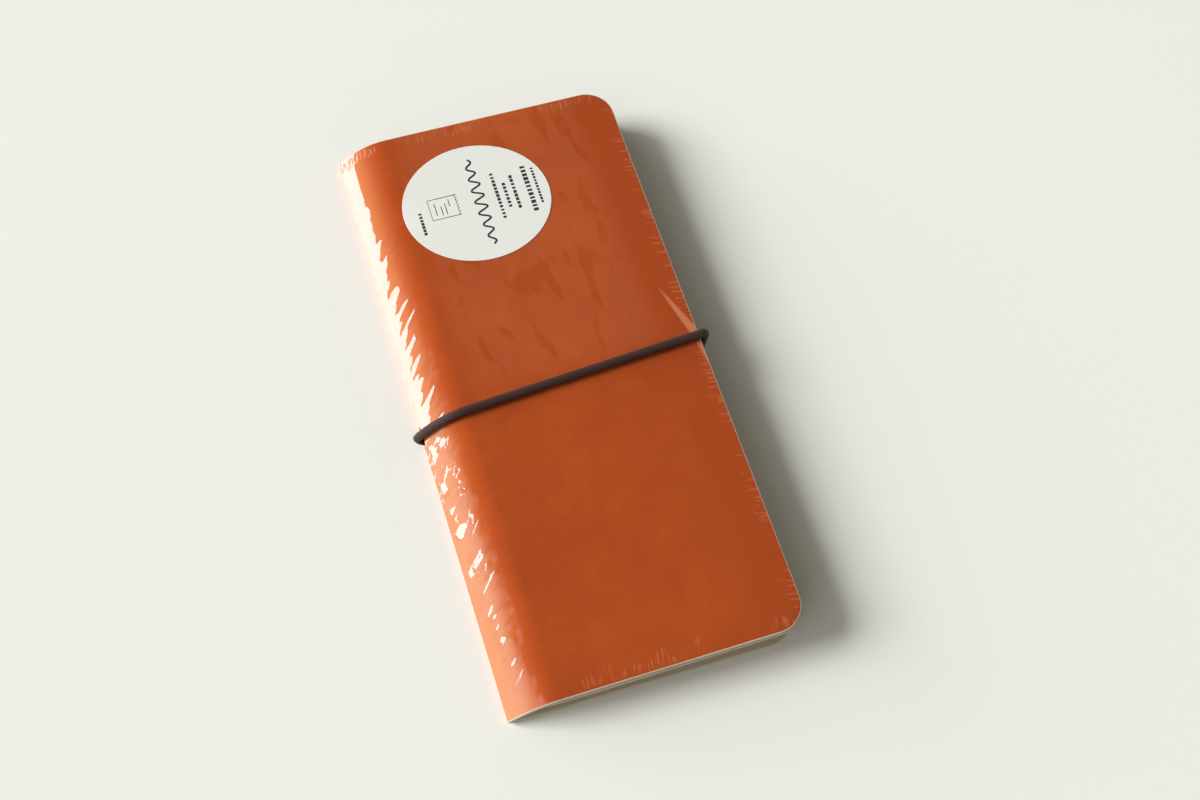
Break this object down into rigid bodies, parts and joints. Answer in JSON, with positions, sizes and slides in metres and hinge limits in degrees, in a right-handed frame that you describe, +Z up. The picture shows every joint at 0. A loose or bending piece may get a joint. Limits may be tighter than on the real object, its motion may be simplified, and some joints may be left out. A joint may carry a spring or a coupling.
{
  "type": "receipt holder",
  "caption": "Slim leather receipt holder: a cover with a full flap folded round an accordion file of pockets, held shut by an elastic loop.",
  "frame": {"origin": "centre of the bottom of the closed holder, on the surface it lies on", "axes": "+X from the spine to the flap's free edge, +Y along the holder's length to the end with the label, +Z up out of the flap"},
  "size_m": [0.0904, 0.18, 0.0168],
  "materials": {
    "cover_leather": "smooth tan artificial leather with a soft gloss",
    "file_leather": "thin matt artificial leather",
    "file_card": "card faced with thin artificial leather",
    "board": "raw grey board",
    "lining": "pale fine lining",
    "label_paper": "white coated paper with plain marks",
    "elastic": "fine braided sheath"
  },
  "bodies": {
    "back": {"back_leather": "cover_leather", "back_board": "board", "back_fold": "cover_leather", "elastic_cord": "elastic", "file_back_wall": "file_card", "pocket_floor_1": "file_leather", "near_gusset_1": "file_leather", "far_gusset_1": "file_leather"},
    "spine": {"spine_leather": "cover_leather", "spine_lining": "lining", "cord_knot": "elastic", "flap_fold": "cover_leather"},
    "flap": {"flap_leather": "cover_leather", "flap_board": "board", "flap_lining": "lining", "paper_label": "label_paper"},
    "leaf_1": {"divider_1": "file_card", "pocket_floor_2": "file_leather", "near_gusset_2": "file_leather", "far_gusset_2": "file_leather"},
    "leaf_2": {"divider_2": "file_card", "pocket_floor_3": "file_leather", "near_gusset_3": "file_leather", "far_gusset_3": "file_leather"},
    "leaf_3": {"divider_3": "file_card", "pocket_floor_4": "file_leather", "near_gusset_4": "file_leather", "far_gusset_4": "file_leather"},
    "leaf_4": {"divider_4": "file_card", "pocket_floor_5": "file_leather", "near_gusset_5": "file_leather", "far_gusset_5": "file_leather"},
    "leaf_5": {"divider_5": "file_card", "pocket_floor_6": "file_leather", "near_gusset_6": "file_leather", "far_gusset_6": "file_leather"},
    "leaf_6": {"divider_6": "file_card", "pocket_floor_7": "file_leather", "near_gusset_7": "file_leather", "far_gusset_7": "file_leather"},
    "front": {"file_front_wall": "file_card", "front_leather": "file_leather"}
  },
  "joints": [
    {"name": "spine_turn", "type": "hinge", "parent": "back", "child": "spine", "pos_m": [-0.04195, 0, 0.00108], "axis": [0, -1, 0], "range_deg": [0, 136], "deforming": ["back_fold", "elastic_cord"]},
    {"name": "flap_turn", "type": "hinge", "parent": "spine", "child": "flap", "pos_m": [-0.03099, 0, 0.00973], "axis": [0, -1, 0], "range_deg": [0, 41], "deforming": ["flap_fold"]},
    {"name": "pocket_1_spread", "type": "hinge", "parent": "back", "child": "leaf_1", "pos_m": [0.04, 0, 0.00337], "axis": [0, 1, 0], "range_deg": [0, 3], "deforming": ["near_gusset_1", "far_gusset_1"]},
    {"name": "pocket_2_spread", "type": "hinge", "parent": "leaf_1", "child": "leaf_2", "pos_m": [0.03999, 0, 0.00464], "axis": [0, 1, 0], "range_deg": [0, 3], "deforming": ["near_gusset_2", "far_gusset_2"]},
    {"name": "pocket_3_spread", "type": "hinge", "parent": "leaf_2", "child": "leaf_3", "pos_m": [0.03997, 0, 0.00591], "axis": [0, 1, 0], "range_deg": [0, 3], "deforming": ["near_gusset_3", "far_gusset_3"]},
    {"name": "pocket_4_spread", "type": "hinge", "parent": "leaf_3", "child": "leaf_4", "pos_m": [0.03994, 0, 0.00718], "axis": [0, 1, 0], "range_deg": [0, 3], "deforming": ["near_gusset_4", "far_gusset_4"]},
    {"name": "pocket_5_spread", "type": "hinge", "parent": "leaf_4", "child": "leaf_5", "pos_m": [0.03991, 0, 0.00845], "axis": [0, 1, 0], "range_deg": [0, 3], "deforming": ["near_gusset_5", "far_gusset_5"]},
    {"name": "pocket_6_spread", "type": "hinge", "parent": "leaf_5", "child": "leaf_6", "pos_m": [0.03986, 0, 0.00972], "axis": [0, 1, 0], "range_deg": [0, 3], "deforming": ["near_gusset_6", "far_gusset_6"]},
    {"name": "pocket_7_spread", "type": "hinge", "parent": "leaf_6", "child": "front", "pos_m": [0.0398, 0, 0.01099], "axis": [0, 1, 0], "range_deg": [0, 3], "deforming": ["near_gusset_7", "far_gusset_7"]}
  ],
  "couplings": [
    {"joint": "flap_turn", "follows": "spine_turn", "ratio": 0.30147},
    {"joint": "pocket_1_spread", "follows": "spine_turn", "ratio": 0.022058},
    {"joint": "pocket_2_spread", "follows": "spine_turn", "ratio": 0.022058},
    {"joint": "pocket_3_spread", "follows": "spine_turn", "ratio": 0.022058},
    {"joint": "pocket_4_spread", "follows": "spine_turn", "ratio": 0.022058},
    {"joint": "pocket_5_spread", "follows": "spine_turn", "ratio": 0.022058},
    {"joint": "pocket_6_spread", "follows": "spine_turn", "ratio": 0.022058},
    {"joint": "pocket_7_spread", "follows": "spine_turn", "ratio": 0.022058}
  ]
}
